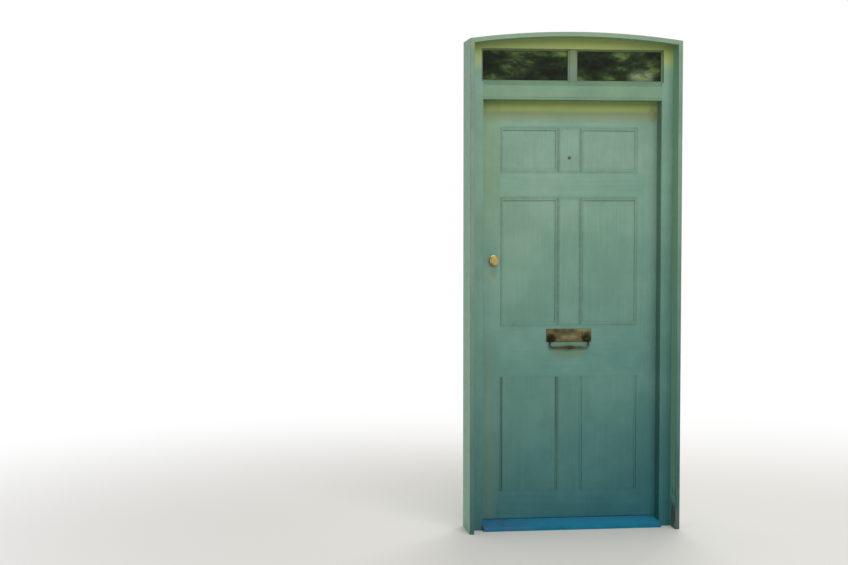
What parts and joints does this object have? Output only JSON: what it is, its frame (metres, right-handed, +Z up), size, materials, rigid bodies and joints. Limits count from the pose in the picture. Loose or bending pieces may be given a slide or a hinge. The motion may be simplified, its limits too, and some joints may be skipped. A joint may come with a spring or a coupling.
{
  "type": "panelled front door with frame and fanlight",
  "caption": "Panelled inward-opening front door in an arched frame, with fanlight, weathered sill, latch, letter plate and knocker.",
  "frame": {"origin": "centre of the sill's underside, below the street face of the jambs", "axes": "+X to the right as seen from the street, +Y into the house, +Z up"},
  "size_m": [0.994, 0.261, 2.3089],
  "materials": {
    "sill_paint": "weathered teal paint",
    "frame_paint": "aged sage green paint",
    "leaf_paint": "aged sage green paint",
    "fanlight_glass": "old clear glass",
    "viewer_glass": "clear glass",
    "polished_brass": "polished",
    "aged_brass": "weathered",
    "steel": "plated",
    "latch_enamel": "stoved enamel"
  },
  "bodies": {
    "frame": {"sill": "sill_paint", "water_bar": "steel", "jamb_left": "frame_paint", "jamb_right": "frame_paint", "transom": "frame_paint", "head": "frame_paint", "glazing_bar": "frame_paint", "fanlight_glass_left": "fanlight_glass", "fanlight_glass_right": "fanlight_glass", "fanlight_beads": "frame_paint", "lining_left": "frame_paint", "lining_right": "frame_paint", "lining_arch": "frame_paint", "hinge_pins": "steel", "frame_screws": "steel", "latch_keep": "latch_enamel", "hinge_top_frame_leaf": "steel", "hinge_middle_frame_leaf": "steel", "hinge_bottom_frame_leaf": "steel"},
    "leaf": {"lock_stile": "leaf_paint", "hinge_stile": "leaf_paint", "top_rail": "leaf_paint", "frieze_rail": "leaf_paint", "lock_rail": "leaf_paint", "bottom_rail": "leaf_paint", "muntin_top": "leaf_paint", "muntin_middle": "leaf_paint", "muntin_lower": "leaf_paint", "panel_top_left": "leaf_paint", "panel_top_right": "leaf_paint", "panel_middle_left": "leaf_paint", "panel_middle_right": "leaf_paint", "panel_lower_left": "leaf_paint", "panel_lower_right": "leaf_paint", "mouldings_top": "leaf_paint", "mouldings_middle": "leaf_paint", "hinge_top_door_leaf": "steel", "hinge_middle_door_leaf": "steel", "hinge_bottom_door_leaf": "steel", "door_screws": "steel", "latch_case": "latch_enamel", "latch_screws": "steel", "cylinder_body": "polished_brass", "cylinder_ring": "polished_brass", "letter_plate": "aged_brass", "inner_letter_frame": "aged_brass", "flap_pins": "steel", "letter_plate_bolts": "steel", "viewer_barrel": "aged_brass", "viewer_lens": "viewer_glass", "viewer_sleeve": "polished_brass"},
    "letter_flap": {"letter_flap": "aged_brass"},
    "inner_flap": {"inner_flap": "aged_brass"},
    "knocker": {"knocker": "aged_brass"},
    "cylinder_plug": {"cylinder_plug": "polished_brass"},
    "latch_bolt": {"latch_bolt": "steel"},
    "latch_knob": {"latch_knob": "polished_brass"},
    "latch_snib": {"latch_snib": "polished_brass"},
    "viewer_cover": {"viewer_cover": "polished_brass"}
  },
  "joints": [
    {"name": "leaf_swing", "type": "hinge", "parent": "frame", "child": "leaf", "pos_m": [0.4335, 0.1255, 1.0215], "axis": [0, 0, -1], "range_deg": [0, 100]},
    {"name": "letter_flap_swing", "type": "hinge", "parent": "leaf", "child": "letter_flap", "pos_m": [0, 0.0787, 0.925], "axis": [1, 0, 0], "range_deg": [0, 75]},
    {"name": "inner_flap_swing", "type": "hinge", "parent": "leaf", "child": "inner_flap", "pos_m": [0, 0.1251, 0.925], "axis": [1, 0, 0], "range_deg": [0, 100]},
    {"name": "knocker_swing", "type": "hinge", "parent": "leaf", "child": "knocker", "pos_m": [0, 0.062, 0.885], "axis": [-1, 0, 0], "range_deg": [0, 95]},
    {"name": "knob_turn", "type": "hinge", "parent": "leaf", "child": "latch_knob", "pos_m": [-0.36, 0.133, 1.257], "axis": [0, 1, 0], "range_deg": [0, 70]},
    {"name": "bolt_slide", "type": "slide", "parent": "leaf", "child": "latch_bolt", "axis": [-1, 0, 0], "range_m": [0, 0.015]},
    {"name": "plug_turn", "type": "hinge", "parent": "leaf", "child": "cylinder_plug", "pos_m": [-0.36, 0.083, 1.257], "axis": [0, 1, 0], "range_deg": [0, 70]},
    {"name": "snib_slide", "type": "slide", "parent": "leaf", "child": "latch_snib", "axis": [-1, 0, 0], "range_m": [0, 0.006]},
    {"name": "viewer_cover_swing", "type": "hinge", "parent": "leaf", "child": "viewer_cover", "pos_m": [0, 0.1225, 1.748], "axis": [0, 1, 0], "range_deg": [-120, 120]}
  ],
  "couplings": [
    {"joint": "bolt_slide", "follows": "knob_turn", "m_per_rad": 0.01227},
    {"joint": "plug_turn", "follows": "knob_turn", "ratio": 1}
  ]
}
